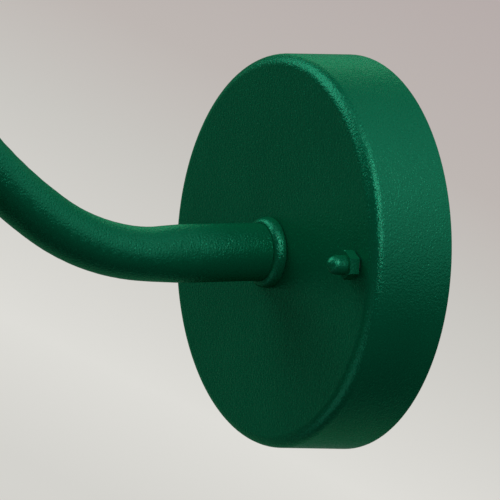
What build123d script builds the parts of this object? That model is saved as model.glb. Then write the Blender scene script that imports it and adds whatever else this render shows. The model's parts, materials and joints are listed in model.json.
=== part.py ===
from build123d import *
import os
from math import cos, degrees, radians, sin, sqrt

# Swan-neck outdoor wall light: a round canopy on the wall, a bent tube arm and a dish shade with its lamp.
# +Z is up, the wall is the plane Y = 0, and the light stands out from it along -Y.
# The origin is the centre of the canopy's back, on the wall. Lengths are millimetres, angles degrees.

os.makedirs("parts", exist_ok=True)

# Fits between parts
slip_gap = 0.1  # on the radius, between round parts that slip into one another
free_gap = 0.3  # between parts that must not touch
bolt_gap = 0.25  # on the radius, between a stud or nipple and its clearance hole

# Canopy, a drawn pan with a rounded front edge
canopy_diameter = 127.0
canopy_depth = 27.5
canopy_wall = 1.5
canopy_draft = 0.75  # radius lost from the wall to the face
canopy_edge_radius = 4.0
gasket_width = 4.0
gasket_thickness = 3.0

# Wall bracket, a flat cross that the canopy hides
bracket_thickness = 2.5
strap_width = 25.0
strap_gap = 1.9  # from the strap's end to the gasket
tab_width = 38.0
tab_top = 42.0
tab_bottom = 48.0
tab_corner = 6.0
bracket_chamfer = 0.4
wall_slot_spacing = 60.0
wall_slot_length = 14.0
wall_slot_width = 5.0

# Studs and nuts that hold the canopy
stud_inset = 12.5  # from the canopy's largest radius to the stud's axis
stud_tilt = 0.6  # how far the right stud sits above the canopy's axis, and the left one below it
stud_diameter = 5.0
stud_head_diameter = 9.0
stud_head_height = 1.0
stud_in_cap_nut = 4.2
stud_chamfer = 0.5
nut_across_flats = 8.0
nut_chamfer = 0.35
stud_nut_height = 4.0
cap_nut_hex_height = 3.3
cap_nut_dome_diameter = 6.0
cap_nut_neck_length = 2.6  # straight part between the hexagon and the round end
cap_nut_bore_depth = 4.8
seal_washer_diameter = 7.2
seal_washer_thickness = 0.5

# Cable inlet in the bracket's upper tab
inlet_height = 27.0
cable_bore = 8.0
grommet_wall = 2.0
grommet_flange = 2.2
grommet_flange_thickness = 2.0
grommet_round = 0.9

# Terminal block on the bracket's lower tab
block_width = 31.0
block_height = 18.0
block_thickness = 11.5
block_corner = 1.5
block_edge = 1.0
block_drop = 33.0  # from the canopy's axis down to the block's middle
way_pitch = 10.0
way_bore = 5.0
way_depth = 5.5  # from the bracket's face to a way's axis
sleeve_wall = 0.8
sleeve_recess = 2.5
clamp_screw_diameter = 3.4
clamp_screw_spacing = 8.0
clamp_screw_sink = 0.6
block_screw_diameter = 2.9
block_screw_head_diameter = 5.2
block_screw_head_height = 2.0

# Earth screw and its ring terminal on the strap
earth_offset = 16.5
earth_screw_diameter = 4.0
earth_head_diameter = 7.4
earth_head_height = 2.6
earth_head_round = 1.3
ring_terminal_diameter = 8.0
ring_terminal_thickness = 0.8
ring_barrel_diameter = 3.6
ring_barrel_length = 7.0
screw_slot_width = 0.8
screw_slot_depth = 0.9

# Arm, one bent tube
arm_diameter = 18.5
arm_wall = 2.0
arm_drop = 0.6  # from the canopy's axis down to the arm's hole
bend_height = 17.0  # the tube flattens a little where it is bent
bend_width = 19.9
flattening_before = 11.3  # along the straight, before the first bend
flattening_after = 6.7
flattening_tip = 12.0
flattening_steps = 6
droop_angle = 2.0  # the arm dips a little before it rises
droop_bend_radius = 40.0
arm_straight = 32.8
lower_bend_radius = 71.4
opening_angle = 31.5  # heading at which the first bend opens out
opening_bend_radius = 151.0
rise_angle = 55.0
rise_length = 30.0
upper_bend_radius = 78.0
drop_length = 26.0
collar_thickness = 1.98
collar_length = 3.9
collar_band = 0.8
collar_seat_round = 0.6

# Threaded joints at the arm's two ends
plug_length = 6.0
plug_run = 0.5  # straight tube past the root plug
nipple_diameter = 10.0
nipple_wall = 1.5
nipple_in_plug = 5.5
nipple_past_nut = 3.0
lock_washer_diameter = 17.0
lock_washer_thickness = 1.0
lock_washer_teeth = 12
lock_washer_tooth_depth = 1.2
lock_nut_across_flats = 14.0
lock_nut_height = 5.0
bush_wall = 0.7
bush_length = 6.0
bush_flange = 0.6
bush_flange_thickness = 1.5

# Wires from the terminal block to the lampholder
wire_diameter = 2.4
wire_gap = 0.3
wire_bend = 3.0
wire_lift = 5.6  # above the terminal block, where a core turns towards the arm
wire_gather = 7.0  # below the canopy's axis, where the two cores come together

# Neck cup over the lampholder
cup_diameter = 52.0
cup_height = 60.0
cup_wall = 2.0
cup_edge_radius = 7.0
cup_gasket_thickness = 1.5
cup_gasket_lip = 0.5

# Dish shade
shade_diameter = 260.0
shade_depth = 108.0
shade_wall = 1.2
shade_ledge = 5.0  # flat beyond the neck cup
shade_neck_height = 18.0
shade_rim_height = 30.0
shade_shoulder_radius = 4.0
shade_flare_radius = 22.0
shade_brow_radius = 30.0
shade_bead_radius = 1.8
shade_ring_width = 6.5
shade_ring_height = 6.0
shade_ring_notches = 16
shade_ring_notch = 1.2

# Lampholder
holder_diameter = 40.0
holder_wall = 2.0
holder_cap_step = 0.5  # the cap stands proud of the skirt
holder_entry_length = 11.0
holder_entry_wall = 4.0
holder_neck_height = 10.0
holder_bush_room = 1.0  # around the nipple bush's flange
holder_cone_height = 8.5
holder_cap_height = 30.0
holder_grub_diameter = 3.0
holder_grub_drop = 5.0
core_depth = 24.0  # from the holder's top down to the porcelain core
core_height = 17.0
terminal_spacing = 16.0
terminal_side = 5.0
terminal_height = 6.0
terminal_screw_diameter = 2.5
terminal_screw_length = 3.0
skirt_length = 46.0
thread_groove_radius = 0.5
thread_groove_pitch = 2.4
thread_groove_count = 8
shell_wall = 0.5
shell_length = 24.0
shell_gap = 0.4
screw_pitch = 3.6
screw_ribs = 5
contact_drop = 3.0
contact_thickness = 0.4
contact_width = 5.0
contact_foot = 3.5
contact_slope = 4.4
contact_pad = 2.6
lamp_seal_height = 3.0

# Lamp with a screw cap
lamp_cap_diameter = 26.0
lamp_cap_length = 20.0
lamp_cap_wall = 0.5
lamp_rib_radius = 0.9
lamp_insulator_height = 3.5
lamp_insulator_top_diameter = 10.0
lamp_contact_diameter = 9.0
lamp_contact_height = 1.5
lamp_contact_round = 0.7
bulb_diameter = 60.0
bulb_length = 80.0
bulb_neck_length = 9.0
bulb_glass = 0.9
stem_length = 24.0
stem_taper = 12.0
stem_tip_diameter = 8.0
stem_plate = 2.0
filament_count = 4
filament_circle = 18.0
filament_length = 34.0
filament_diameter = 2.0
frame_wire = 0.8
frame_hub = 3.0

# Places on the canopy, measured out from the wall
canopy_radius = canopy_diameter / 2
canopy_inside = canopy_depth - canopy_wall
canopy_inner_radius = canopy_radius - canopy_wall - canopy_draft
gasket_draft = canopy_draft * gasket_thickness / canopy_depth
gasket_outer_radius = canopy_radius - canopy_wall - gasket_draft - slip_gap
gasket_inner_radius = gasket_outer_radius - gasket_width
strap_length = 2 * (gasket_inner_radius - strap_gap)
stud_spacing = canopy_diameter - 2 * stud_inset
left_stud = (-stud_spacing / 2, -stud_tilt)
right_stud = (stud_spacing / 2, stud_tilt)
stud_places = (left_stud, right_stud)
stud_hole_radius = stud_diameter / 2 + bolt_gap
nut_corner_radius = nut_across_flats / sqrt(3)
cap_nut_base = canopy_depth + seal_washer_thickness
arm_radius = arm_diameter / 2
arm_bore_radius = arm_radius - arm_wall
nipple_radius = nipple_diameter / 2
nipple_bore_radius = nipple_radius - nipple_wall
nipple_hole_radius = nipple_radius + bolt_gap
lock_nut_base = canopy_inside - lock_washer_thickness
root_nipple_end = lock_nut_base - lock_nut_height - nipple_past_nut
way_axis = bracket_thickness + way_depth
block_front = bracket_thickness + block_thickness
block_top = block_height / 2 - block_drop
wire_radius = wire_diameter / 2
wire_side = wire_radius + wire_gap / 2


def on_bend(centre, radius, heading, turn):
    """Reach and height on a bend where the arm heads up at this angle; it turns up (1) or down (-1)."""
    angle = radians(heading)
    return (centre[0] + turn * radius * sin(angle), centre[1] - turn * radius * cos(angle))


# Places along the arm, as reach from the wall and height above the canopy's axis
arm_root = (canopy_depth, -arm_drop)
droop_start = (canopy_depth + plug_length + plug_run, -arm_drop)
droop_centre = (droop_start[0], -arm_drop - droop_bend_radius)
droop_end = on_bend(droop_centre, droop_bend_radius, -droop_angle, -1)
bend_start = (
    droop_end[0] + arm_straight * cos(radians(droop_angle)),
    droop_end[1] - arm_straight * sin(radians(droop_angle)),
)
bend_centre = (
    bend_start[0] + lower_bend_radius * sin(radians(droop_angle)),
    bend_start[1] + lower_bend_radius * cos(radians(droop_angle)),
)
opening_start = on_bend(bend_centre, lower_bend_radius, opening_angle, 1)
opening_centre = (
    opening_start[0] - opening_bend_radius * sin(radians(opening_angle)),
    opening_start[1] + opening_bend_radius * cos(radians(opening_angle)),
)
rise_start = on_bend(opening_centre, opening_bend_radius, rise_angle, 1)
rise_end = (
    rise_start[0] + rise_length * cos(radians(rise_angle)),
    rise_start[1] + rise_length * sin(radians(rise_angle)),
)
arch_centre = (
    rise_end[0] + upper_bend_radius * sin(radians(rise_angle)),
    rise_end[1] - upper_bend_radius * cos(radians(rise_angle)),
)
head_reach = arch_centre[0] + upper_bend_radius
arch_end = (head_reach, arch_centre[1])
tip_height = arch_centre[1] - drop_length

# Heights on the head
cup_ceiling = tip_height - cup_wall
cup_foot = tip_height - cup_height
holder_top = cup_ceiling - lock_washer_thickness
tip_nipple_end = holder_top - holder_entry_length
holder_radius = holder_diameter / 2
holder_cap_radius = holder_radius + holder_cap_step
holder_cap_foot = holder_top - holder_cap_height
core_top = holder_top - core_depth
core_foot = core_top - core_height
core_radius = holder_cap_radius - holder_wall - free_gap
skirt_top = holder_cap_foot - slip_gap
skirt_foot = skirt_top - skirt_length
shade_top = cup_foot - cup_gasket_thickness
shade_under = shade_top - shade_wall
shade_neck_radius = cup_diameter / 2 + shade_ledge
shade_radius = shade_diameter / 2
shade_foot = shade_top - shade_depth
lamp_top = core_foot - contact_drop
lamp_cap_radius = lamp_cap_diameter / 2
lamp_cap_top = lamp_top - lamp_contact_height - lamp_insulator_height
lamp_cap_foot = lamp_cap_top - lamp_cap_length
bulb_radius = bulb_diameter / 2
bulb_neck_foot = lamp_cap_foot - bulb_neck_length
bulb_foot = lamp_cap_foot - bulb_length
bulb_centre = bulb_foot + bulb_radius
shell_radius = lamp_cap_radius + shell_gap
shell_rib_radius = shell_wall
skirt_bore_radius = shell_radius + shell_wall + shell_rib_radius + shell_gap
filament_top = lamp_cap_foot - stem_plate - stem_length - frame_wire

# Planes and axes that several parts share
wall_axis = Axis((0, 0, 0), (0, 1, 0))
root_plane = Plane.XY.offset(-arm_drop)
root_axis = Axis((0, 0, -arm_drop), (0, 1, 0))
head_plane = Plane.XZ.offset(head_reach)
head_axis = Axis((0, -head_reach, 0), (0, 0, 1))


def from_wall(reach):
    """Plane parallel to the wall, facing away from it."""
    return Plane.XZ.offset(reach)


def at_root(reach):
    """Plane parallel to the wall, centred on the arm's root and facing away from the wall."""
    return Plane(origin=(0, -reach, -arm_drop), x_dir=(1, 0, 0), z_dir=(0, -1, 0))


def across_arm(place, heading):
    """Plane square to the arm where it heads up at this angle."""
    way = (0, -cos(radians(heading)), sin(radians(heading)))
    return Plane(origin=(0, -place[0], place[1]), x_dir=(1, 0, 0), z_dir=way)


def at_height(height):
    """Level plane centred on the head's axis, facing up."""
    return Plane(origin=(0, -head_reach, height), x_dir=(1, 0, 0), z_dir=(0, 0, 1))


def ring_profile(inner, outer, low, high, mode=Mode.ADD):
    """Rectangle between two radii and two levels, for a turned ring."""
    with Locations(((inner + outer) / 2, (low + high) / 2)):
        Rectangle(outer - inner, abs(high - low), mode=mode)


def hexagon(across_flats, turn=30):
    """Hexagon, with one flat facing sideways unless it is turned."""
    RegularPolygon(radius=across_flats / sqrt(3), side_count=6, rotation=turn)


def near(shape, x, y):
    """Corner of a profile nearest to a point."""
    return shape.vertices().sort_by_distance(Vector(x, y, 0))[0]


def beside(place, side):
    """Point at a place along the arm, shifted sideways."""
    return (side, -place[0], place[1])


def bend_station(distance):
    """Place and heading at a distance past the start of the first bend, or before it if negative."""
    if distance > 0:
        heading = degrees(distance / lower_bend_radius) - droop_angle
        return on_bend(bend_centre, lower_bend_radius, heading, 1), heading
    along = radians(droop_angle)
    return (bend_start[0] + distance * cos(along), bend_start[1] - distance * sin(along)), -droop_angle


def root_line(end, side):
    """Arm's centreline from the canopy's face along the straight to a place on it."""
    droop_middle = on_bend(droop_centre, droop_bend_radius, -droop_angle / 2, -1)
    Line(beside(arm_root, side), beside(droop_start, side))
    ThreePointArc(beside(droop_start, side), beside(droop_middle, side), beside(droop_end, side))
    Line(beside(droop_end, side), beside(end, side))


def bends_line(start, heading, side):
    """Arm's centreline from a place on the first bend to the end of the arch."""
    bend_middle = on_bend(bend_centre, lower_bend_radius, (opening_angle + heading) / 2, 1)
    opening_middle = on_bend(opening_centre, opening_bend_radius, (rise_angle + opening_angle) / 2, 1)
    arch_middle = on_bend(arch_centre, upper_bend_radius, (rise_angle - 90) / 2, -1)
    ThreePointArc(beside(start, side), beside(bend_middle, side), beside(opening_start, side))
    ThreePointArc(beside(opening_start, side), beside(opening_middle, side), beside(rise_start, side))
    Line(beside(rise_start, side), beside(rise_end, side))
    ThreePointArc(beside(rise_end, side), beside(arch_middle, side), beside(arch_end, side))


def core_line(way, side, terminal):
    """Route of one insulated core: terminal block, canopy, arm, lampholder terminal."""
    spread_height = tip_nipple_end - bush_flange_thickness - slip_gap - wire_radius
    join_height = (spread_height + core_top) / 2 - wire_radius
    FilletPolyline(
        (way, -way_axis, block_top - sleeve_recess + slip_gap),
        (way, -way_axis, block_top + wire_lift),
        (side, -way_axis, -wire_gather),
        (side, -way_axis, -arm_drop),
        (side, -canopy_depth, -arm_drop),
        radius=wire_bend,
    )
    root_line(bend_start, side)
    bends_line(bend_start, -droop_angle, side)
    FilletPolyline(
        (side, -head_reach, arch_end[1]),
        (side, -head_reach, spread_height),
        (terminal, -head_reach, join_height),
        (terminal, -head_reach, core_top + slip_gap),
        radius=wire_bend,
    )


# Wall bracket and its seal

with BuildPart() as wall_gasket:
    with BuildSketch(from_wall(0)):
        Circle(gasket_outer_radius)
        Circle(gasket_inner_radius, mode=Mode.SUBTRACT)
    extrude(amount=gasket_thickness)

with BuildPart() as mounting_bracket:
    with BuildSketch(from_wall(0)):
        SlotOverall(strap_length, strap_width)
        with Locations((0, (tab_top - tab_bottom) / 2)):
            RectangleRounded(tab_width, tab_top + tab_bottom, tab_corner)
        with GridLocations(wall_slot_spacing, 0, 2, 1):
            SlotOverall(wall_slot_length, wall_slot_width, mode=Mode.SUBTRACT)
        with Locations(*stud_places):
            Circle(stud_diameter / 2 + slip_gap, mode=Mode.SUBTRACT)
        with Locations((0, inlet_height)):
            Circle(cable_bore / 2 + grommet_wall + slip_gap, mode=Mode.SUBTRACT)
        with Locations((earth_offset, 0)):
            Circle(earth_screw_diameter / 2 + slip_gap, mode=Mode.SUBTRACT)
        with Locations((0, -block_drop)):
            with GridLocations(way_pitch, 0, 2, 1):
                Circle(block_screw_diameter / 2 + slip_gap, mode=Mode.SUBTRACT)
    extrude(amount=bracket_thickness)
    with BuildSketch(from_wall(0)):
        with Locations(*stud_places):
            Circle(stud_head_diameter / 2 + slip_gap)
    extrude(amount=stud_head_height, mode=Mode.SUBTRACT)
    front_edges = mounting_bracket.faces().sort_by(Axis.Y)[0].outer_wire().edges()
    chamfer(front_edges, length=bracket_chamfer)

with BuildPart() as cable_grommet:
    with BuildSketch(Plane.YZ) as grommet_profile:
        bore_top = inlet_height + cable_bore / 2
        flange_top = bore_top + grommet_wall + grommet_flange
        flange_front = bracket_thickness + grommet_flange_thickness
        with BuildLine():
            Polyline(
                (-slip_gap, bore_top),
                (-slip_gap, bore_top + grommet_wall),
                (-bracket_thickness, bore_top + grommet_wall),
                (-bracket_thickness, flange_top),
                (-flange_front, flange_top),
                (-flange_front, bore_top),
                close=True,
            )
        make_face()
        front_corners = [near(grommet_profile, -flange_front, level) for level in (flange_top, bore_top)]
        fillet(front_corners, grommet_round)
    revolve(axis=Axis((0, 0, inlet_height), (0, 1, 0)))

with BuildPart() as canopy_studs:
    with BuildSketch(from_wall(0)):
        with Locations(*stud_places):
            Circle(stud_head_diameter / 2)
    extrude(amount=stud_head_height)
    with BuildSketch(from_wall(0)):
        with Locations(*stud_places):
            Circle(stud_diameter / 2)
    extrude(amount=cap_nut_base + stud_in_cap_nut)
    chamfer(canopy_studs.edges().sort_by(Axis.Y)[:2], length=stud_chamfer)

with BuildPart() as stud_nuts:
    with BuildSketch(from_wall(bracket_thickness)):
        with Locations(*stud_places):
            hexagon(nut_across_flats)
            Circle(stud_diameter / 2 + slip_gap, mode=Mode.SUBTRACT)
    extrude(amount=stud_nut_height)

# Terminal block, its ways and its screws

with BuildPart() as terminal_block:
    with BuildSketch(from_wall(bracket_thickness)):
        with Locations((0, -block_drop)):
            RectangleRounded(block_width, block_height, block_corner)
            with GridLocations(way_pitch, 0, 2, 1):
                Circle(block_screw_diameter / 2 + bolt_gap, mode=Mode.SUBTRACT)
    extrude(amount=block_thickness)
    fillet(terminal_block.faces().sort_by(Axis.Y)[0].outer_wire().edges(), radius=block_edge)
    with BuildSketch(from_wall(block_front)):
        with Locations((0, -block_drop)):
            with GridLocations(way_pitch, 0, 2, 1):
                Circle(block_screw_head_diameter / 2 + bolt_gap)
    extrude(amount=-block_screw_head_height, mode=Mode.SUBTRACT)
    with BuildSketch(from_wall(block_front)):
        with Locations((0, -block_drop)):
            with GridLocations(way_pitch, clamp_screw_spacing, 3, 2):
                Circle(clamp_screw_diameter / 2 + bolt_gap)
    extrude(amount=way_depth - block_thickness, mode=Mode.SUBTRACT)
    with BuildSketch(Plane.XY.offset(block_top)):
        with Locations((0, -way_axis)):
            with GridLocations(way_pitch, 0, 3, 1):
                Circle(way_bore / 2)
    extrude(amount=-block_height, mode=Mode.SUBTRACT)

with BuildPart() as terminal_sleeves:
    with BuildSketch(Plane.XY.offset(block_top - sleeve_recess)):
        with Locations((0, -way_axis)):
            with GridLocations(way_pitch, 0, 3, 1):
                Circle(way_bore / 2 - slip_gap)
                Circle(way_bore / 2 - slip_gap - sleeve_wall, mode=Mode.SUBTRACT)
    extrude(amount=2 * sleeve_recess - block_height)

with BuildPart() as terminal_screws:
    with BuildSketch(from_wall(way_axis + way_bore / 2)):
        with Locations((0, -block_drop)):
            with GridLocations(way_pitch, clamp_screw_spacing, 3, 2):
                Circle(clamp_screw_diameter / 2)
    clamp_screw_length = block_thickness - way_depth - way_bore / 2 - clamp_screw_sink
    extrude(amount=clamp_screw_length)
    with BuildSketch(from_wall(block_front - clamp_screw_sink)):
        with Locations((0, -block_drop)):
            with GridLocations(way_pitch, clamp_screw_spacing, 3, 2):
                Rectangle(clamp_screw_diameter, screw_slot_width)
    extrude(amount=-screw_slot_depth, mode=Mode.SUBTRACT)

with BuildPart() as block_screws:
    with BuildSketch(from_wall(0)):
        with Locations((0, -block_drop)):
            with GridLocations(way_pitch, 0, 2, 1):
                Circle(block_screw_diameter / 2)
    extrude(amount=block_front - block_screw_head_height)
    with BuildSketch(from_wall(block_front - block_screw_head_height)):
        with Locations((0, -block_drop)):
            with GridLocations(way_pitch, 0, 2, 1):
                Circle(block_screw_head_diameter / 2)
    extrude(amount=block_screw_head_height)
    with BuildSketch(from_wall(block_front)):
        with Locations((0, -block_drop)):
            with GridLocations(way_pitch, 0, 2, 1):
                Rectangle(block_screw_head_diameter, screw_slot_width)
                Rectangle(screw_slot_width, block_screw_head_diameter)
    extrude(amount=-screw_slot_depth, mode=Mode.SUBTRACT)

# Earth connection

ring_front = bracket_thickness + ring_terminal_thickness
barrel_axis = bracket_thickness + ring_barrel_diameter / 2
barrel_top = -ring_terminal_diameter / 2
barrel_foot = barrel_top - ring_barrel_length

with BuildPart() as earth_ring:
    with BuildSketch(from_wall(bracket_thickness)):
        with Locations((earth_offset, 0)):
            Circle(ring_terminal_diameter / 2)
        with Locations((earth_offset, barrel_top)):
            Rectangle(ring_barrel_diameter, ring_terminal_diameter / 2)
        with Locations((earth_offset, 0)):
            Circle(earth_screw_diameter / 2 + bolt_gap, mode=Mode.SUBTRACT)
    extrude(amount=ring_terminal_thickness)
    with BuildSketch(Plane.XY.offset(barrel_foot)):
        with Locations((earth_offset, -barrel_axis)):
            Circle(ring_barrel_diameter / 2)
    extrude(amount=ring_barrel_length)
    with BuildSketch(Plane.XY.offset(barrel_foot)):
        with Locations((earth_offset, -barrel_axis)):
            Circle(wire_radius + slip_gap)
    extrude(amount=ring_barrel_length / 2, mode=Mode.SUBTRACT)

with BuildPart() as earth_screw:
    with BuildSketch(from_wall(0)):
        with Locations((earth_offset, 0)):
            Circle(earth_screw_diameter / 2)
    extrude(amount=ring_front)
    with BuildSketch(from_wall(ring_front)):
        with Locations((earth_offset, 0)):
            Circle(earth_head_diameter / 2)
    extrude(amount=earth_head_height)
    fillet(earth_screw.edges().sort_by(Axis.Y)[0], radius=earth_head_round)
    with BuildSketch(from_wall(ring_front + earth_head_height)):
        with Locations((earth_offset, 0)):
            Rectangle(earth_head_diameter, screw_slot_width)
            Rectangle(screw_slot_width, earth_head_diameter)
    extrude(amount=-screw_slot_depth, mode=Mode.SUBTRACT)

earth_clear = (barrel_foot + block_top) / 2

with BuildPart() as earth_wire:
    with BuildLine() as earth_route:
        FilletPolyline(
            (earth_offset, -barrel_axis, barrel_foot + ring_barrel_length / 2 - slip_gap),
            (earth_offset, -barrel_axis, earth_clear + wire_radius),
            (way_pitch, -way_axis, earth_clear - wire_radius),
            (way_pitch, -way_axis, block_top - sleeve_recess + slip_gap),
            radius=wire_bend,
        )
    with BuildSketch(Plane(origin=earth_route.line @ 0, z_dir=earth_route.line % 0)):
        Circle(wire_radius)
    sweep()

# Canopy, its washers and the cap nuts

with BuildPart() as canopy:
    with BuildSketch(Plane.XY) as canopy_profile:
        face_radius = canopy_radius - canopy_draft
        with BuildLine():
            Polyline(
                (canopy_radius, 0),
                (face_radius, -canopy_depth),
                (0, -canopy_depth),
                (0, -canopy_inside),
                (canopy_inner_radius, -canopy_inside),
                (canopy_radius - canopy_wall, 0),
                close=True,
            )
        make_face()
        fillet(near(canopy_profile, face_radius, -canopy_depth), canopy_edge_radius)
        fillet(near(canopy_profile, canopy_inner_radius, -canopy_inside), canopy_edge_radius - canopy_wall)
    revolve(axis=wall_axis)
    with BuildSketch(from_wall(canopy_depth)):
        with Locations(*stud_places):
            Circle(stud_hole_radius)
        with Locations((0, -arm_drop)):
            Circle(nipple_hole_radius)
    extrude(amount=-2 * canopy_wall, mode=Mode.SUBTRACT)

with BuildPart() as nut_washers:
    with BuildSketch(from_wall(canopy_depth)):
        with Locations(*stud_places):
            Circle(seal_washer_diameter / 2)
            Circle(stud_hole_radius, mode=Mode.SUBTRACT)
    extrude(amount=seal_washer_thickness)

cap_nuts = {}
for nut_name, nut_place, nut_turn in (("cap_nut_right", right_stud, 30), ("cap_nut_left", left_stud, 0)):
    with BuildPart() as cap_nut:
        nut_x, nut_z = nut_place
        nut_axis = Axis((nut_x, 0, nut_z), (0, 1, 0))
        nut_section = Plane.XY.offset(nut_z)
        with BuildSketch(from_wall(cap_nut_base)):
            with Locations(nut_place):
                hexagon(nut_across_flats, nut_turn)
        extrude(amount=cap_nut_hex_height)
        with BuildSketch(nut_section):
            bevel_radius = nut_corner_radius - nut_chamfer
            bevel_height = cap_nut_hex_height - nut_chamfer
            with BuildLine():
                Polyline(
                    (nut_x, -cap_nut_base),
                    (nut_x + nut_corner_radius, -cap_nut_base),
                    (nut_x + nut_corner_radius, -cap_nut_base - bevel_height),
                    (nut_x + bevel_radius, -cap_nut_base - cap_nut_hex_height),
                    (nut_x, -cap_nut_base - cap_nut_hex_height),
                    close=True,
                )
            make_face()
        revolve(axis=nut_axis, mode=Mode.INTERSECT)
        dome_radius = cap_nut_dome_diameter / 2
        hex_front = cap_nut_base + cap_nut_hex_height
        dome_start = hex_front + cap_nut_neck_length
        with BuildSketch(nut_section):
            with BuildLine():
                Polyline(
                    (nut_x, -dome_start - dome_radius),
                    (nut_x, -hex_front),
                    (nut_x + dome_radius, -hex_front),
                    (nut_x + dome_radius, -dome_start),
                )
                CenterArc((nut_x, -dome_start), dome_radius, 0, -90)
            make_face()
        revolve(axis=nut_axis)
        with BuildSketch(from_wall(cap_nut_base)):
            with Locations(nut_place):
                Circle(stud_diameter / 2 + slip_gap)
        extrude(amount=cap_nut_bore_depth, mode=Mode.SUBTRACT)
    cap_nuts[nut_name] = cap_nut

# Arm with its collars and threaded ends

round_end, round_heading = bend_station(-flattening_before)
flat_start, flat_heading = bend_station(flattening_after)
with BuildPart() as gooseneck_arm:
    for inset, tube_mode in ((0, Mode.ADD), (arm_wall, Mode.SUBTRACT)):
        tube_radius = arm_radius - inset
        flat_width = bend_width / 2 - inset
        flat_height = bend_height / 2 - inset
        with BuildLine() as root_route:
            root_line(round_end, 0)
        with BuildSketch(at_root(canopy_depth)):
            Circle(tube_radius)
        sweep(path=root_route.line, mode=tube_mode)
        for step in range(flattening_steps + 1):
            share = step / flattening_steps
            ease = share**2 * (3 - 2 * share)
            past_bend_start = share * (flattening_before + flattening_after) - flattening_before
            place, heading = bend_station(past_bend_start)
            with BuildSketch(across_arm(place, heading)):
                Ellipse(
                    tube_radius + (flat_width - tube_radius) * ease,
                    tube_radius + (flat_height - tube_radius) * ease,
                )
        loft(mode=tube_mode)
        with BuildLine() as bends_route:
            bends_line(flat_start, flat_heading, 0)
        with BuildSketch(across_arm(flat_start, flat_heading)):
            Ellipse(flat_width, flat_height)
        sweep(path=bends_route.line, mode=tube_mode)
        for step in range(flattening_steps + 1):
            share = step / flattening_steps
            ease = share**2 * (3 - 2 * share)
            with BuildSketch(across_arm((head_reach, arch_end[1] - share * flattening_tip), -90)):
                Ellipse(
                    flat_width + (tube_radius - flat_width) * ease,
                    flat_height + (tube_radius - flat_height) * ease,
                )
        loft(mode=tube_mode)
        with BuildSketch(at_height(tip_height)):
            Circle(tube_radius)
        extrude(amount=drop_length - flattening_tip, mode=tube_mode)

collar_inner = arm_radius + slip_gap
collar_outer = collar_inner + collar_thickness
collars = {}
for collar_name, collar_plane, collar_axis, collar_seat, collar_way in (
    ("root_collar", root_plane, root_axis, -canopy_depth, -1),
    ("tip_collar", head_plane, head_axis, tip_height, 1),
):
    collar_brow = collar_seat + collar_way * collar_band
    collar_end = collar_seat + collar_way * collar_length
    with BuildPart() as collar:
        with BuildSketch(collar_plane) as collar_profile:
            with Locations((collar_inner, collar_brow)):
                Ellipse(collar_thickness, collar_length - collar_band)
            ring_profile(collar_inner, collar_outer, collar_seat, collar_end, mode=Mode.INTERSECT)
            ring_profile(collar_inner, collar_outer, collar_seat, collar_brow)
            fillet(near(collar_profile, collar_outer, collar_seat), collar_seat_round)
        revolve(axis=collar_axis)
    collars[collar_name] = collar

with BuildPart() as arm_end_plugs:
    for plug_plane in (at_root(canopy_depth), at_height(tip_height)):
        with BuildSketch(plug_plane):
            Circle(arm_bore_radius - slip_gap)
            Circle(nipple_radius + slip_gap, mode=Mode.SUBTRACT)
        extrude(amount=plug_length)

with BuildPart() as threaded_nipples:
    with BuildSketch(at_root(root_nipple_end)):
        Circle(nipple_radius)
        Circle(nipple_bore_radius, mode=Mode.SUBTRACT)
    extrude(amount=canopy_depth + nipple_in_plug - root_nipple_end)
    with BuildSketch(at_height(tip_nipple_end)):
        Circle(nipple_radius)
        Circle(nipple_bore_radius, mode=Mode.SUBTRACT)
    extrude(amount=tip_height + nipple_in_plug - tip_nipple_end)

with BuildPart() as lock_washers:
    for washer_plane in (at_root(lock_nut_base), at_height(holder_top)):
        with BuildSketch(washer_plane):
            Circle(lock_washer_diameter / 2)
            Circle(nipple_hole_radius, mode=Mode.SUBTRACT)
            with PolarLocations(lock_washer_diameter / 2, lock_washer_teeth):
                Rectangle(2 * lock_washer_tooth_depth, lock_washer_tooth_depth, mode=Mode.SUBTRACT)
        extrude(amount=lock_washer_thickness)

with BuildPart() as root_lock_nut:
    with BuildSketch(at_root(lock_nut_base - lock_nut_height)):
        hexagon(lock_nut_across_flats)
        Circle(nipple_radius + slip_gap, mode=Mode.SUBTRACT)
    extrude(amount=lock_nut_height)

with BuildPart() as nipple_bushes:
    bush_radius = nipple_bore_radius - slip_gap
    for bush_plane in (at_root(root_nipple_end), at_height(tip_nipple_end)):
        with BuildSketch(bush_plane):
            Circle(bush_radius)
            Circle(bush_radius - bush_wall, mode=Mode.SUBTRACT)
        extrude(amount=bush_length)
        with BuildSketch(bush_plane):
            Circle(nipple_radius + bush_flange)
            Circle(bush_radius - bush_wall, mode=Mode.SUBTRACT)
        extrude(amount=-bush_flange_thickness)

# Cores that run through the arm

with BuildPart() as live_wire:
    with BuildLine() as live_route:
        core_line(-way_pitch, -wire_side, -terminal_spacing / 2)
    with BuildSketch(Plane(origin=live_route.line @ 0, z_dir=live_route.line % 0)):
        Circle(wire_radius)
    sweep(path=live_route.line)

with BuildPart() as neutral_wire:
    with BuildLine() as neutral_route:
        core_line(0, wire_side, terminal_spacing / 2)
    with BuildSketch(Plane(origin=neutral_route.line @ 0, z_dir=neutral_route.line % 0)):
        Circle(wire_radius)
    sweep(path=neutral_route.line)

# Neck cup and shade

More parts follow.
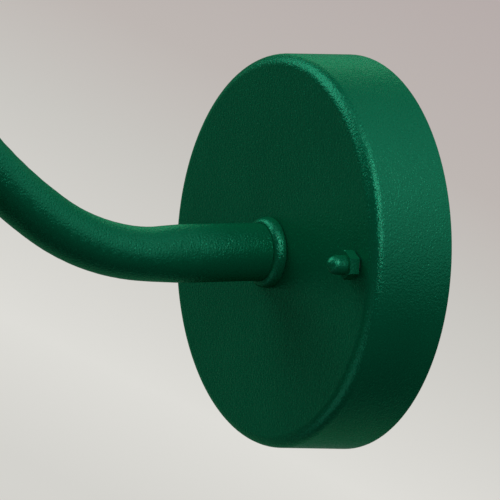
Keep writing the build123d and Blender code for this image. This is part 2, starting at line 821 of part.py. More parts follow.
with BuildPart() as neck_cup:
    with BuildSketch(head_plane) as cup_profile:
        cup_radius = cup_diameter / 2
        with BuildLine():
            Polyline(
                (nipple_hole_radius, tip_height),
                (cup_radius, tip_height),
                (cup_radius, cup_foot),
                (cup_radius - cup_wall, cup_foot),
                (cup_radius - cup_wall, cup_ceiling),
                (nipple_hole_radius, cup_ceiling),
                close=True,
            )
        make_face()
        fillet(near(cup_profile, cup_radius, tip_height), cup_edge_radius)
        fillet(near(cup_profile, cup_radius - cup_wall, cup_ceiling), cup_edge_radius - cup_wall)
    revolve(axis=head_axis)

with BuildPart() as shade_gasket:
    with BuildSketch(at_height(shade_top)):
        Circle(cup_radius + cup_gasket_lip)
        Circle(cup_radius - cup_wall - cup_gasket_lip, mode=Mode.SUBTRACT)
    extrude(amount=cup_gasket_thickness)

with BuildPart() as shade:
    with BuildSketch(head_plane) as shade_profile:
        shade_hole_radius = holder_radius + bolt_gap
        brow_height = shade_foot + shade_rim_height
        with BuildLine() as shade_outline:
            FilletPolyline(
                (shade_hole_radius, shade_top),
                (shade_neck_radius, shade_top),
                (shade_neck_radius, shade_top - shade_neck_height),
                (shade_radius, brow_height),
                (shade_radius, shade_foot + shade_bead_radius),
                radius=[shade_shoulder_radius, shade_flare_radius, shade_brow_radius],
            )
            offset(amount=shade_wall, side=Side.RIGHT)
        make_face()
        with Locations((shade_radius - shade_bead_radius, shade_foot + shade_bead_radius)):
            Circle(shade_bead_radius)
    revolve(axis=head_axis)

with BuildPart() as shade_ring:
    ring_bore = holder_radius + slip_gap
    with BuildSketch(at_height(shade_under)):
        Circle(ring_bore + shade_ring_width)
        Circle(ring_bore, mode=Mode.SUBTRACT)
        with PolarLocations(ring_bore + shade_ring_width, shade_ring_notches):
            Circle(shade_ring_notch, mode=Mode.SUBTRACT)
    extrude(amount=-shade_ring_height)

# Lampholder

with BuildPart() as lampholder_cap:
    with BuildSketch(head_plane):
        entry_radius = nipple_radius + slip_gap
        neck_radius = entry_radius + holder_entry_wall
        bush_room = nipple_radius + bush_flange + holder_bush_room
        cone_foot = holder_top - holder_neck_height - holder_cone_height
        with BuildLine():
            Polyline(
                (entry_radius, holder_top),
                (neck_radius, holder_top),
                (neck_radius, holder_top - holder_neck_height),
                (holder_cap_radius, cone_foot),
                (holder_cap_radius, holder_cap_foot),
                (holder_cap_radius - holder_wall, holder_cap_foot),
                (holder_cap_radius - holder_wall, cone_foot - holder_wall),
                (bush_room, holder_top - holder_neck_height - holder_wall),
                (bush_room, holder_top - holder_neck_height),
                (entry_radius, holder_top - holder_neck_height),
                close=True,
            )
        make_face()
    revolve(axis=head_axis)
    with BuildSketch(Plane.YZ.offset(nipple_radius)):
        with Locations((-head_reach, holder_top - holder_grub_drop)):
            Circle(holder_grub_diameter / 2 + slip_gap)
    extrude(amount=2 * holder_entry_wall, mode=Mode.SUBTRACT)

with BuildPart() as holder_grub_screw:
    with BuildSketch(Plane.YZ.offset(nipple_radius + slip_gap)):
        with Locations((-head_reach, holder_top - holder_grub_drop)):
            Circle(holder_grub_diameter / 2)
    extrude(amount=holder_entry_wall)
    with BuildSketch(Plane.YZ.offset(nipple_radius + slip_gap + holder_entry_wall)):
        with Locations((-head_reach, holder_top - holder_grub_drop)):
            Rectangle(holder_grub_diameter, screw_slot_width)
    extrude(amount=-screw_slot_depth, mode=Mode.SUBTRACT)

with BuildPart() as lampholder_core:
    with BuildSketch(at_height(core_foot)):
        Circle(core_radius)
    extrude(amount=core_height)
    with BuildSketch(at_height(core_top)):
        with GridLocations(terminal_spacing, 0, 2, 1):
            Rectangle(terminal_side + 2 * slip_gap, core_radius)
    extrude(amount=-terminal_height - slip_gap, mode=Mode.SUBTRACT)

with BuildPart() as holder_terminals:
    with BuildSketch(at_height(core_top)):
        with GridLocations(terminal_spacing, 0, 2, 1):
            Rectangle(terminal_side, terminal_side)
    extrude(amount=-terminal_height)

with BuildPart() as holder_screws:
    with BuildSketch(Plane.XZ.offset(head_reach + terminal_side / 2)):
        with Locations((0, core_top - terminal_height / 2)):
            with GridLocations(terminal_spacing, 0, 2, 1):
                Circle(terminal_screw_diameter / 2)
    extrude(amount=terminal_screw_length)
    with BuildSketch(Plane.XZ.offset(head_reach + terminal_side / 2 + terminal_screw_length)):
        with Locations((0, core_top - terminal_height / 2)):
            with GridLocations(terminal_spacing, 0, 2, 1):
                Rectangle(terminal_screw_diameter, screw_slot_width)
    extrude(amount=-screw_slot_depth, mode=Mode.SUBTRACT)

with BuildPart() as lampholder_skirt:
    with BuildSketch(head_plane):
        ledge_radius = core_radius + slip_gap
        with BuildLine():
            Polyline(
                (holder_radius, skirt_top),
                (holder_radius, skirt_foot),
                (skirt_bore_radius, skirt_foot),
                (skirt_bore_radius, core_foot),
                (ledge_radius, core_foot),
                (ledge_radius, skirt_top),
                close=True,
            )
        make_face()
        for groove in range(thread_groove_count):
            with Locations((holder_radius, skirt_foot + (groove + 0.5) * thread_groove_pitch)):
                Circle(thread_groove_radius, mode=Mode.SUBTRACT)
    revolve(axis=head_axis)

with BuildPart() as lamp_seal:
    with BuildSketch(at_height(skirt_foot)):
        Circle(skirt_bore_radius - slip_gap)
        Circle(lamp_cap_radius + free_gap, mode=Mode.SUBTRACT)
    extrude(amount=lamp_seal_height)

with BuildPart() as screw_shell:
    with BuildSketch(head_plane):
        ring_profile(shell_radius, shell_radius + shell_wall, core_foot - shell_length, core_foot)
        for rib in range(screw_ribs):
            with Locations((shell_radius + shell_wall, core_foot - (rib + 1) * screw_pitch)):
                Circle(shell_rib_radius)
    revolve(axis=head_axis)

with BuildPart() as centre_contact:
    strip_dip = core_foot - contact_drop + free_gap + contact_thickness
    pad_start = -contact_pad / 2
    slope_start = pad_start - contact_slope
    with BuildSketch(Plane.XZ.offset(head_reach - contact_width / 2)):
        with BuildLine():
            Polyline(
                (slope_start - contact_foot, core_foot),
                (slope_start, core_foot),
                (pad_start, strip_dip),
                (contact_pad / 2, strip_dip),
                (contact_pad / 2, strip_dip - contact_thickness),
                (pad_start - contact_thickness, strip_dip - contact_thickness),
                (slope_start - contact_thickness, core_foot - contact_thickness),
                (slope_start - contact_foot, core_foot - contact_thickness),
                close=True,
            )
        make_face()
    extrude(amount=contact_width)

# Lamp

with BuildPart() as lamp_contact:
    with BuildSketch(at_height(lamp_top)):
        Circle(lamp_contact_diameter / 2)
    extrude(amount=-lamp_contact_height)
    fillet(lamp_contact.edges().sort_by(Axis.Z)[-1], radius=lamp_contact_round)

with BuildPart() as lamp_insulator:
    insulator_top = lamp_top - lamp_contact_height
    insulator_foot_radius = lamp_cap_radius - lamp_rib_radius
    with BuildSketch(head_plane):
        with BuildLine():
            Polyline(
                (0, insulator_top),
                (lamp_insulator_top_diameter / 2, insulator_top),
                (insulator_foot_radius, lamp_cap_top),
                (0, lamp_cap_top),
                close=True,
            )
        make_face()
    revolve(axis=head_axis)

with BuildPart() as lamp_cap:
    cap_wall_radius = lamp_cap_radius - lamp_rib_radius
    with BuildSketch(head_plane):
        ring_profile(cap_wall_radius - lamp_cap_wall, cap_wall_radius, lamp_cap_foot, lamp_cap_top)
        ring_profile(cap_wall_radius, lamp_cap_radius, lamp_cap_foot, lamp_cap_foot + lamp_rib_radius)
        for rib in range(screw_ribs - 1):
            with Locations((cap_wall_radius, lamp_cap_top - (rib + 1) * screw_pitch)):
                Circle(lamp_rib_radius)
    revolve(axis=head_axis)


def bulb_outline(inset):
    """Glass line from the neck to the bulb's end: a straight neck, a hollow flare and a ball."""
    neck = lamp_cap_radius - inset
    ball = bulb_radius - inset
    drop = bulb_neck_foot - bulb_centre
    flare = (neck**2 + drop**2 - ball**2) / (2 * (ball - neck))
    share = ball / (ball + flare)
    join = ((neck + flare) * share, bulb_centre + drop * share)
    Line((neck, lamp_cap_foot), (neck, bulb_neck_foot))
    RadiusArc((neck, bulb_neck_foot), join, -flare)
    RadiusArc(join, (0, bulb_centre - ball), ball)


with BuildPart() as lamp_envelope:
    with BuildSketch(head_plane):
        with BuildLine():
            bulb_outline(0)
            bulb_outline(bulb_glass)
            Line((lamp_cap_radius, lamp_cap_foot), (lamp_cap_radius - bulb_glass, lamp_cap_foot))
            Line((0, bulb_foot), (0, bulb_foot + bulb_glass))
        make_face()
    revolve(axis=head_axis)

with BuildPart() as lamp_stem:
    stem_radius = lamp_cap_radius - bulb_glass - slip_gap
    stem_foot = lamp_cap_foot - stem_plate - stem_length
    with BuildSketch(head_plane):
        with BuildLine():
            Polyline(
                (0, lamp_cap_foot),
                (stem_radius, lamp_cap_foot),
                (stem_radius, lamp_cap_foot - stem_plate),
                (stem_tip_diameter / 2, lamp_cap_foot - stem_plate - stem_taper),
                (stem_tip_diameter / 2, stem_foot),
                (0, stem_foot),
                close=True,
            )
        make_face()
    revolve(axis=head_axis)

with BuildPart() as filament_frame:
    for level in (stem_foot, filament_top - filament_length):
        with BuildSketch(at_height(level)):
            Circle(frame_hub / 2)
            Rectangle(filament_circle + filament_diameter, frame_wire)
            Rectangle(frame_wire, filament_circle + filament_diameter)
        extrude(amount=-frame_wire)
    with BuildSketch(at_height(stem_foot)):
        Circle(frame_wire)
    extrude(amount=filament_top - filament_length - stem_foot)

with BuildPart() as lamp_filaments:
    with BuildSketch(at_height(filament_top)):
        with PolarLocations(filament_circle / 2, filament_count):
            Circle(filament_diameter / 2)
    extrude(amount=-filament_length)

pieces = {
    "wall_gasket": wall_gasket,
    "mounting_bracket": mounting_bracket,
    "cable_grommet": cable_grommet,
    "canopy_studs": canopy_studs,
    "stud_nuts": stud_nuts,
    "terminal_block": terminal_block,
    "terminal_sleeves": terminal_sleeves,
    "terminal_screws": terminal_screws,
    "block_screws": block_screws,
    "earth_ring": earth_ring,
    "earth_screw": earth_screw,
    "earth_wire": earth_wire,
    "canopy": canopy,
    "nut_washers": nut_washers,
    "cap_nut_right": cap_nuts["cap_nut_right"],
    "cap_nut_left": cap_nuts["cap_nut_left"],
    "gooseneck_arm": gooseneck_arm,
    "root_collar": collars["root_collar"],
    "tip_collar": collars["tip_collar"],
    "arm_end_plugs": arm_end_plugs,
    "threaded_nipples": threaded_nipples,
    "lock_washers": lock_washers,
    "root_lock_nut": root_lock_nut,
    "nipple_bushes": nipple_bushes,
    "live_wire": live_wire,
    "neutral_wire": neutral_wire,
    "neck_cup": neck_cup,
    "shade_gasket": shade_gasket,
    "shade": shade,
    "shade_ring": shade_ring,
    "lampholder_cap": lampholder_cap,
    "holder_grub_screw": holder_grub_screw,
    "lampholder_core": lampholder_core,
    "holder_terminals": holder_terminals,
    "holder_screws": holder_screws,
    "lampholder_skirt": lampholder_skirt,
    "lamp_seal": lamp_seal,
    "screw_shell": screw_shell,
    "centre_contact": centre_contact,
    "lamp_contact": lamp_contact,
    "lamp_insulator": lamp_insulator,
    "lamp_cap": lamp_cap,
    "lamp_envelope": lamp_envelope,
    "lamp_stem": lamp_stem,
    "filament_frame": filament_frame,
    "lamp_filaments": lamp_filaments,
}

for name, piece in pieces.items():
    piece.part.label = name
    export_step(piece.part, f"parts/{name}.step")
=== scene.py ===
import json
import math

import bpy
from mathutils import Matrix, Vector


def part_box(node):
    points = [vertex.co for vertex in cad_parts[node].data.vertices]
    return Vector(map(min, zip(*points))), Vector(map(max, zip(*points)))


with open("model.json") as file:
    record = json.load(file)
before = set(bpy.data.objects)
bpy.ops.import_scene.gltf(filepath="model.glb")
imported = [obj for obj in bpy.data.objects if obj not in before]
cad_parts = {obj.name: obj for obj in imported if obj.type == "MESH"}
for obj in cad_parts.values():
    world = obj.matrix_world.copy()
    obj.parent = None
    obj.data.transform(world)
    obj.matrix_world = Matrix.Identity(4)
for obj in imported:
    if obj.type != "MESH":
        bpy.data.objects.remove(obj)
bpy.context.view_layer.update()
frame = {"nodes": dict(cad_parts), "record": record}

# The photograph's frame and the camera that was fitted to it
IMAGE_SIZE = 500
ORIGIN_PIXEL = (342.56, 251.63)
PIXELS_PER_METRE = 3104.0
CAMERA_DISTANCE = 1.2
CAMERA_AZIMUTH = math.radians(57.97)
CAMERA_ELEVATION = math.radians(4.46)
CAMERA_ROLL = math.radians(-3.76)
SENSOR_MM = 36.0
NEAREST_SEEN = 0.01
FARTHEST_SEEN = 100.0


def srgb(red, green, blue):
    """Linear colour of an 8-bit display colour."""
    values = []
    for channel in (red, green, blue):
        share = channel / 255
        values.append(share / 12.92 if share <= 0.04045 else ((share + 0.055) / 1.055) ** 2.4)
    return (*values, 1.0)


# Camera

def camera_axes():
    """Right, up and backward directions of the camera in the shared frame."""
    azimuth, elevation, roll = CAMERA_AZIMUTH, CAMERA_ELEVATION, CAMERA_ROLL
    back = Vector((
        math.sin(azimuth) * math.cos(elevation),
        -math.cos(azimuth) * math.cos(elevation),
        math.sin(elevation),
    ))
    level = Vector((math.cos(azimuth), math.sin(azimuth), 0))
    upright = back.cross(level)
    right = level * math.cos(roll) - upright * math.sin(roll)
    up = level * math.sin(roll) + upright * math.cos(roll)
    return right, up, back


def add_camera():
    """Camera at its distance from the frame's origin, aimed so that the origin falls on its pixel."""
    right, up, back = camera_axes()
    half = IMAGE_SIZE / 2
    aim = (
        right * (half - ORIGIN_PIXEL[0]) / PIXELS_PER_METRE
        + up * (ORIGIN_PIXEL[1] - half) / PIXELS_PER_METRE
    )
    place = back * CAMERA_DISTANCE
    sight = (place - aim).normalized()
    side = up.cross(sight).normalized()
    top = sight.cross(side)
    data = bpy.data.cameras.new("camera")
    data.sensor_width = SENSOR_MM
    data.lens = SENSOR_MM * CAMERA_DISTANCE * PIXELS_PER_METRE / IMAGE_SIZE
    data.clip_start = NEAREST_SEEN
    data.clip_end = FARTHEST_SEEN
    camera = bpy.data.objects.new("camera", data)
    turn = Matrix((side, top, sight)).transposed().to_4x4()
    camera.matrix_world = Matrix.Translation(place) @ turn
    bpy.context.scene.collection.objects.link(camera)
    bpy.context.scene.camera = camera


# Materials

# Most of a cloudy pattern's values lie between these
PATTERN_LOW = 0.3
PATTERN_HIGH = 0.7


def fill_ramp(node, stops):
    """Give a colour ramp its colours, each at its place from 0 to 1."""
    marks = node.color_ramp.elements
    while len(marks) < len(stops):
        marks.new(0.5)
    for mark, (position, colour) in zip(marks, stops):
        mark.position = position
        mark.color = colour


class Recipe:
    """A material in the making: short words for the nodes that most finishes share."""

    def __init__(self, name, base, roughness, metallic=0.0, specular=0.5):
        self.material = bpy.data.materials.new(name)
        self.material.use_nodes = True
        self.nodes = self.material.node_tree.nodes
        self.links = self.material.node_tree.links
        self.shader = self.nodes["Principled BSDF"]
        self.shader.inputs["Base Color"].default_value = base
        self.shader.inputs["Roughness"].default_value = roughness
        self.shader.inputs["Metallic"].default_value = metallic
        self.shader.inputs["Specular IOR Level"].default_value = specular
        self.place = self.nodes.new("ShaderNodeTexCoord").outputs["Object"]

    def stretched(self, x, y, z):
        """Object coordinates scaled along each axis."""
        mapping = self.nodes.new("ShaderNodeMapping")
        mapping.inputs["Scale"].default_value = (x, y, z)
        self.links.new(self.place, mapping.inputs["Vector"])
        return mapping.outputs["Vector"]

    def noise(self, size, detail=3.0, rough=0.55, place=None):
        """Cloudy pattern with features of about this size in metres."""
        node = self.nodes.new("ShaderNodeTexNoise")
        node.inputs["Scale"].default_value = 1 / size
        node.inputs["Detail"].default_value = detail
        node.inputs["Roughness"].default_value = rough
        self.links.new(place or self.place, node.inputs["Vector"])
        return node.outputs["Fac"]

    def spread(self, value, low, high, start=PATTERN_LOW, end=PATTERN_HIGH):
        """A pattern's values from start to end spread over low to high."""
        node = self.nodes.new("ShaderNodeMapRange")
        node.inputs["From Min"].default_value = start
        node.inputs["From Max"].default_value = end
        node.inputs["To Min"].default_value = low
        node.inputs["To Max"].default_value = high
        self.links.new(value, node.inputs["Value"])
        return node.outputs["Result"]

    def ramp(self, value, stops):
        """Colours along a pattern's values."""
        node = self.nodes.new("ShaderNodeValToRGB")
        fill_ramp(node, stops)
        self.links.new(value, node.inputs["Fac"])
        return node.outputs["Color"]

    def tones(self, value, dark, light):
        """A cloudy pattern in two near colours."""
        return self.ramp(value, [(PATTERN_LOW, dark), (PATTERN_HIGH, light)])

    def set(self, socket, value):
        """Drive one input of the surface with a pattern."""
        self.links.new(value, self.shader.inputs[socket])

    def bump(self, height, depth, strength=1.0):
        """Surface relief of this depth in metres."""
        node = self.nodes.new("ShaderNodeBump")
        node.inputs["Strength"].default_value = strength
        node.inputs["Distance"].default_value = depth
        self.links.new(height, node.inputs["Height"])
        return node.outputs["Normal"]

    def vector(self, operation, first, second=None):
        """A sum with vectors; the second one is a pattern or a plain vector."""
        node = self.nodes.new("ShaderNodeVectorMath")
        node.operation = operation
        self.links.new(first, node.inputs[0])
        if isinstance(second, bpy.types.NodeSocket):
            self.links.new(second, node.inputs[1])
        elif second is not None:
            node.inputs[1].default_value = second
        return node.outputs["Value" if operation == "DOT_PRODUCT" else "Vector"]

    def blend(self, shader, share):
        """Lay this share of another shader over the surface so far; the share is a pattern or a number."""
        output = self.nodes["Material Output"]
        under = output.inputs["Surface"].links[0].from_socket
        mix = self.nodes.new("ShaderNodeMixShader")
        if isinstance(share, bpy.types.NodeSocket):
            self.links.new(share, mix.inputs["Fac"])
        else:
            mix.inputs["Fac"].default_value = share
        self.links.new(under, mix.inputs[1])
        self.links.new(shader.outputs["BSDF"], mix.inputs[2])
        self.links.new(mix.outputs["Shader"], output.inputs["Surface"])


# The coat's ground, its grain and orange peel, and the shine of the grain
COAT_COLOUR = srgb(6, 92, 62)
COAT_DARK = srgb(5, 89, 60)
COAT_LIGHT = srgb(7, 95, 64)
COAT_ROUGHNESS = 0.6
CLOUD_SIZE = 0.03
GRAIN_SIZE = 0.0007
GRAIN_DEPTH = 0.00024
PEEL_SIZE = 0.0022
PEEL_DEPTH = 0.00002
GLOSS_SHARE = 0.3
GLOSS_ROUGHNESS = (0.2, 0.3)
GLOSS_TINT = (0.008, 0.3, 0.16, 1)
GLOSS_EDGE_TINT = (0.06, 0.6, 0.38, 1)
LACQUER = 0.12
LACQUER_ROUGHNESS = 0.11
LACQUER_IOR = 2.4


def powder_coat(name):
    """Deep green powder coat: a calm matt ground under a fine grain that shines like tinted metal."""
    coat = Recipe(name, COAT_COLOUR, COAT_ROUGHNESS, specular=0.0)
    cloud = coat.noise(CLOUD_SIZE, detail=2.0)
    coat.set("Base Color", coat.tones(cloud, COAT_DARK, COAT_LIGHT))
    grain = coat.noise(GRAIN_SIZE, detail=2.0, rough=0.6)
    peel = coat.noise(PEEL_SIZE, detail=1.0)
    coat.set("Normal", coat.bump(peel, PEEL_DEPTH, strength=0.5))
    gloss = coat.nodes.new("ShaderNodeBsdfPrincipled")
    gloss.inputs["Base Color"].default_value = GLOSS_TINT
    gloss.inputs["Metallic"].default_value = 1.0
    gloss.inputs["Specular Tint"].default_value = GLOSS_EDGE_TINT
    gloss.inputs["Coat Weight"].default_value = LACQUER
    gloss.inputs["Coat Roughness"].default_value = LACQUER_ROUGHNESS
    gloss.inputs["Coat IOR"].default_value = LACQUER_IOR
    relief = coat.bump(grain, GRAIN_DEPTH)
    coat.links.new(coat.spread(grain, *GLOSS_ROUGHNESS), gloss.inputs["Roughness"])
    coat.links.new(relief, gloss.inputs["Normal"])
    coat.links.new(relief, gloss.inputs["Coat Normal"])
    coat.blend(gloss, GLOSS_SHARE)
    return coat


def lined_coat(node):
    """The shade's finish: the green coat outside and white enamel on the faces that look in or down."""
    coat = powder_coat("shade_coat")
    low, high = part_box(node)
    axis = [(a + b) / 2 for a, b in zip(low, high)]
    enamel = coat.nodes.new("ShaderNodeBsdfPrincipled")
    enamel.inputs["Roughness"].default_value = 0.3
    tone = coat.tones(coat.noise(size=0.02), srgb(226, 224, 216), srgb(234, 232, 225))
    coat.links.new(tone, enamel.inputs["Base Color"])
    relief = coat.bump(coat.noise(size=0.003), depth=0.00003, strength=0.4)
    coat.links.new(relief, enamel.inputs["Normal"])
    outward = coat.vector("SUBTRACT", coat.place, axis)
    outward = coat.vector("MULTIPLY", outward, (1, 1, 0))
    outward = coat.vector("NORMALIZE", outward)
    outward = coat.vector("ADD", outward, (0, 0, 1))
    facing = coat.nodes.new("ShaderNodeNewGeometry").outputs["True Normal"]
    side = coat.vector("DOT_PRODUCT", facing, outward)
    coat.blend(enamel, coat.spread(side, 1.0, 0.0, start=-0.02, end=0.02))
    return coat


def zinc_plate():
    """Bright zinc with faint clouding and drawn lines."""
    zinc = Recipe("zinc_steel", base=(0.6, 0.6, 0.58, 1), roughness=0.32, metallic=1.0)
    cloud = zinc.noise(size=0.006)
    zinc.set("Base Color", zinc.tones(cloud, dark=(0.52, 0.53, 0.53, 1), light=(0.68, 0.67, 0.62, 1)))
    lines = zinc.noise(size=0.0006, place=zinc.stretched(0.15, 1.0, 1.0))
    zinc.set("Roughness", zinc.spread(lines, low=0.24, high=0.42))
    zinc.set("Normal", zinc.bump(lines, depth=0.00001, strength=0.4))
    return zinc.material


def plain_moulding(name, dark, light, roughness, grain, depth, specular=0.5):
    """Moulded rubber, plastic or glazed ware: two near tones, a grain and its relief."""
    recipe = Recipe(name, light, roughness, specular=specular)
    recipe.set("Base Color", recipe.tones(recipe.noise(size=0.008), dark, light))
    fine = recipe.noise(grain)
    recipe.set("Roughness", recipe.spread(fine, roughness - 0.06, roughness + 0.06))
    recipe.set("Normal", recipe.bump(fine, depth, strength=0.5))
    return recipe.material


def bare_metal(name, dark, light, roughness):
    """Turned or plated metal with faint lathe lines and tarnish."""
    metal = Recipe(name, light, roughness, metallic=1.0)
    metal.set("Base Color", metal.tones(metal.noise(size=0.004), dark, light))
    lines = metal.noise(size=0.0004, place=metal.stretched(0.2, 0.2, 1.0))
    metal.set("Roughness", metal.spread(lines, roughness - 0.08, roughness + 0.08))
    metal.set("Normal", metal.bump(lines, depth=0.000006, strength=0.4))
    return metal.material


def striped_insulation():
    """Green wire insulation with yellow stripes that wind round it."""
    wire = Recipe("green_yellow_insulation", base=srgb(40, 130, 60), roughness=0.35)
    wave = wire.nodes.new("ShaderNodeTexWave")
    wave.bands_direction = "DIAGONAL"
    wave.inputs["Scale"].default_value = 90.0
    wave.inputs["Distortion"].default_value = 0.4
    wire.links.new(wire.place, wave.inputs["Vector"])
    stripes = wire.ramp(wave.outputs["Fac"], [(0.48, srgb(30, 120, 55)), (0.52, srgb(225, 205, 40))])
    wire.set("Base Color", stripes)
    wire.set("Roughness", wire.spread(wire.noise(size=0.002), low=0.3, high=0.42))
    return wire.material


def clear_glass():
    """Blown glass, faintly uneven."""
    glass = Recipe("clear_glass", base=(1, 1, 1, 1), roughness=0.02)
    glass.shader.inputs["Transmission Weight"].default_value = 1.0
    glass.shader.inputs["IOR"].default_value = 1.46
    glass.set("Roughness", glass.spread(glass.noise(size=0.01), low=0.0, high=0.04))
    waves = glass.noise(size=0.012, detail=1.0)
    glass.set("Normal", glass.bump(waves, depth=0.0002, strength=0.15))
    return glass.material


def phosphor():
    """Yellow phosphor over the lamp's rods, with chips showing as a fine bead."""
    rods = Recipe("phosphor", base=srgb(235, 190, 60), roughness=0.6)
    beads = rods.noise(size=0.0009, place=rods.stretched(0.2, 0.2, 1.0))
    rods.set("Base Color", rods.ramp(beads, [(0.35, srgb(214, 160, 40)), (0.65, srgb(245, 208, 92))]))
    rods.set("Normal", rods.bump(beads, depth=0.00006, strength=0.6))
    return rods.material


finishes = {
    "green_powder_coat": powder_coat("green_powder_coat").material,
    "zinc_steel": zinc_plate(),
    "black_rubber": plain_moulding(
        "black_rubber", dark=srgb(22, 22, 23), light=srgb(34, 34, 34),
        roughness=0.75, grain=0.0006, depth=0.00004, specular=0.3,
    ),
    "white_plastic": plain_moulding(
        "white_plastic", dark=srgb(222, 219, 210), light=srgb(236, 234, 227),
        roughness=0.45, grain=0.0009, depth=0.00002,
    ),
    "black_plastic": plain_moulding(
        "black_plastic", dark=srgb(24, 24, 25), light=srgb(36, 36, 37),
        roughness=0.5, grain=0.0007, depth=0.00003,
    ),
    "porcelain": plain_moulding(
        "porcelain", dark=srgb(224, 220, 209), light=srgb(238, 235, 226),
        roughness=0.16, grain=0.004, depth=0.00003,
    ),
    "brass": bare_metal(
        "brass", dark=(0.5, 0.33, 0.11, 1), light=(0.68, 0.48, 0.19, 1), roughness=0.3,
    ),
    "solder": bare_metal(
        "solder", dark=(0.42, 0.42, 0.42, 1), light=(0.6, 0.6, 0.58, 1), roughness=0.42,
    ),
    "nickel_cap": bare_metal(
        "nickel_cap", dark=(0.55, 0.53, 0.49, 1), light=(0.72, 0.7, 0.65, 1), roughness=0.24,
    ),
    "black_glass": plain_moulding(
        "black_glass", dark=srgb(14, 14, 18), light=srgb(24, 24, 30),
        roughness=0.14, grain=0.003, depth=0.00003,
    ),
    "brown_insulation": plain_moulding(
        "brown_insulation", dark=srgb(78, 42, 24), light=srgb(98, 56, 34),
        roughness=0.36, grain=0.0012, depth=0.00002,
    ),
    "blue_insulation": plain_moulding(
        "blue_insulation", dark=srgb(28, 74, 156), light=srgb(42, 96, 182),
        roughness=0.36, grain=0.0012, depth=0.00002,
    ),
    "green_yellow_insulation": striped_insulation(),
    "clear_glass": clear_glass(),
    "phosphor": phosphor(),
}


# Patches nearer than this are one surface, and folds sharper than this stay creases
SEAM_GAP = 0.000002
CREASE_ANGLE = math.radians(32)


def seam_joiner():
    """Node group that joins the patches of a surface and keeps only its true creases sharp."""
    tree = bpy.data.node_groups.new("join_seams", "GeometryNodeTree")
    for way in ("INPUT", "OUTPUT"):
        tree.interface.new_socket("Geometry", in_out=way, socket_type="NodeSocketGeometry")
    nodes, links = tree.nodes, tree.links
    free = nodes.new("GeometryNodeRemoveAttribute")
    free.inputs["Name"].default_value = "custom_normal"
    joined = nodes.new("GeometryNodeMergeByDistance")
    joined.inputs["Distance"].default_value = SEAM_GAP
    smooth = nodes.new("GeometryNodeSetShadeSmooth")
    creased = nodes.new("GeometryNodeSetShadeSmooth")
    creased.domain = "EDGE"
    creased.inputs["Shade Smooth"].default_value = False
    crease = nodes.new("FunctionNodeCompare")
    crease.inputs["B"].default_value = CREASE_ANGLE
    angle = nodes.new("GeometryNodeInputMeshEdgeAngle")
    links.new(angle.outputs["Unsigned Angle"], crease.inputs["A"])
    links.new(crease.outputs["Result"], creased.inputs["Selection"])
    chain = [nodes.new("NodeGroupInput"), free, joined, smooth, creased, nodes.new("NodeGroupOutput")]
    for before, after in zip(chain, chain[1:]):
        links.new(before.outputs[0], after.inputs[0])
    return tree


def dress_nodes():
    """Every node of the frame takes the finish of its slot in the record, and shows no seams."""
    joiner = seam_joiner()
    special = {"shade": lined_coat("shade").material}
    for entry in frame["record"]["subparts"]:
        node = frame["nodes"][entry["node"]]
        node.data.materials.clear()
        node.data.materials.append(special.get(entry["node"], finishes[entry["material_slot"]]))
        node.modifiers.new("join_seams", "NODES").node_group = joiner
        even = node.modifiers.new("even_normals", "WEIGHTED_NORMAL")
        even.keep_sharp = True


# Background and light

# Colours across the view, from the upper right to the lower left
BACKGROUND_STOPS = [
    (-0.090, srgb(182, 172, 170)),
    (-0.034, srgb(190, 183, 179)),
    (0.000, srgb(201, 199, 194)),
    (0.062, srgb(222, 221, 216)),
    (0.098, srgb(212, 211, 206)),
]
BACKGROUND_TILT = 0.49
AMBIENT = 0.02
AMBIENT_TINT = (1.0, 0.99, 0.97, 1)

# Reflections see the surround this much dimmer, but for the part behind the object
STUDIO_DIM = 0.05
DIM_FROM = 0.3
BRIGHT_FROM = 0.9


def backdrop(nodes, links, direction):
    """Colour of the surround: a soft gradient that slants across the camera's view."""
    right, up, back = camera_axes()
    slant = -up - right * BACKGROUND_TILT
    centre = slant.dot(-back)
    first, last = BACKGROUND_STOPS[0][0], BACKGROUND_STOPS[-1][0]
    along = nodes.new("ShaderNodeVectorMath")
    along.operation = "DOT_PRODUCT"
    along.inputs[1].default_value = slant
    links.new(direction, along.inputs[0])
    spread = nodes.new("ShaderNodeMapRange")
    spread.inputs["From Min"].default_value = centre + first
    spread.inputs["From Max"].default_value = centre + last
    links.new(along.outputs["Value"], spread.inputs["Value"])
    ramp = nodes.new("ShaderNodeValToRGB")
    fill_ramp(ramp, [((place - first) / (last - first), colour) for place, colour in BACKGROUND_STOPS])
    links.new(spread.outputs["Result"], ramp.inputs["Fac"])
    return ramp.outputs["Color"]


def reflected_level(nodes, links, direction):
    """Strength of the surround in reflections: full behind the object and dim elsewhere."""
    back = camera_axes()[2]
    toward = nodes.new("ShaderNodeVectorMath")
    toward.operation = "DOT_PRODUCT"
    toward.inputs[1].default_value = -back
    links.new(direction, toward.inputs[0])
    dim = nodes.new("ShaderNodeMapRange")
    dim.interpolation_type = "SMOOTHSTEP"
    dim.inputs["From Min"].default_value = DIM_FROM
    dim.inputs["From Max"].default_value = BRIGHT_FROM
    dim.inputs["To Min"].default_value = STUDIO_DIM
    links.new(toward.outputs["Value"], dim.inputs["Value"])
    return dim.outputs["Result"]


def either(nodes, links, first, second):
    """1 where one of two ray tests holds."""
    node = nodes.new("ShaderNodeMath")
    node.operation = "MAXIMUM"
    links.new(first, node.inputs[0])
    links.new(second, node.inputs[1])
    return node.outputs["Value"]


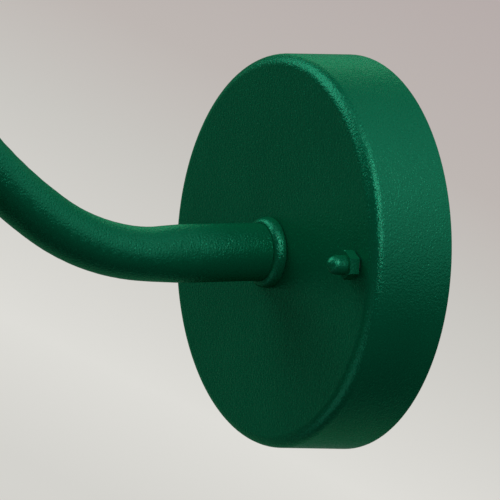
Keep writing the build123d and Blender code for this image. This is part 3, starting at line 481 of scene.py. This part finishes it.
def add_world():
    """Pale studio surround: the backdrop for the eye and reflections, a weak even light for the rest."""
    world = bpy.data.worlds.new("studio")
    bpy.context.scene.world = world
    world.use_nodes = True
    nodes, links = world.node_tree.nodes, world.node_tree.links
    nodes.clear()
    direction = nodes.new("ShaderNodeTexCoord").outputs["Generated"]
    path = nodes.new("ShaderNodeLightPath").outputs
    looked_at = either(nodes, links, path["Is Camera Ray"], path["Is Transmission Ray"])
    shown = either(nodes, links, looked_at, path["Is Glossy Ray"])
    level = nodes.new("ShaderNodeMapRange")
    links.new(looked_at, level.inputs["Value"])
    links.new(reflected_level(nodes, links, direction), level.inputs["To Min"])
    seen = nodes.new("ShaderNodeBackground")
    links.new(backdrop(nodes, links, direction), seen.inputs["Color"])
    links.new(level.outputs["Result"], seen.inputs["Strength"])
    light = nodes.new("ShaderNodeBackground")
    light.inputs["Color"].default_value = AMBIENT_TINT
    light.inputs["Strength"].default_value = AMBIENT
    mix = nodes.new("ShaderNodeMixShader")
    links.new(shown, mix.inputs["Fac"])
    links.new(light.outputs["Background"], mix.inputs[1])
    links.new(seen.outputs["Background"], mix.inputs[2])
    output = nodes.new("ShaderNodeOutputWorld")
    links.new(mix.outputs["Shader"], output.inputs["Surface"])


LIGHT_DISTANCE = 1.6
LIGHT_AIM = Vector((0, -0.03, 0))


def add_light(name, azimuth, elevation, width, height, power):
    """Soft box that looks at the canopy, in degrees, metres and watts; azimuth 0 is straight in front of
    the wall and 90 to its right."""
    data = bpy.data.lights.new(name, "AREA")
    data.shape = "RECTANGLE"
    data.size = width
    data.size_y = height
    data.energy = power
    light = bpy.data.objects.new(name, data)
    turn, rise = math.radians(azimuth), math.radians(elevation)
    way = Vector((math.cos(rise) * math.sin(turn), -math.cos(rise) * math.cos(turn), math.sin(rise)))
    light.location = LIGHT_AIM + way * LIGHT_DISTANCE
    light.rotation_euler = way.to_track_quat("Z", "Y").to_euler()
    bpy.context.scene.collection.objects.link(light)


dress_nodes()
add_camera()
add_world()

add_light("strip", azimuth=77, elevation=24, width=0.45, height=1.2, power=7.6)
add_light("key", azimuth=80, elevation=48, width=0.6, height=0.8, power=3.4)
add_light("side", azimuth=120, elevation=20, width=1.6, height=1.6, power=3.7)
add_light("high_side", azimuth=120, elevation=50, width=1.6, height=1.6, power=2.6)
add_light("rear", azimuth=180, elevation=45, width=1.6, height=1.6, power=4.2)
add_light("left", azimuth=240, elevation=30, width=0.7, height=0.7, power=2.9)
add_light("front", azimuth=312, elevation=42, width=1.2, height=1.2, power=12.0)
add_light("overhead", azimuth=30, elevation=75, width=1.2, height=1.2, power=2.4)
add_light("low_front", azimuth=0, elevation=-42, width=1.4, height=1.4, power=3.4)

bpy.context.scene.view_settings.view_transform = "Standard"
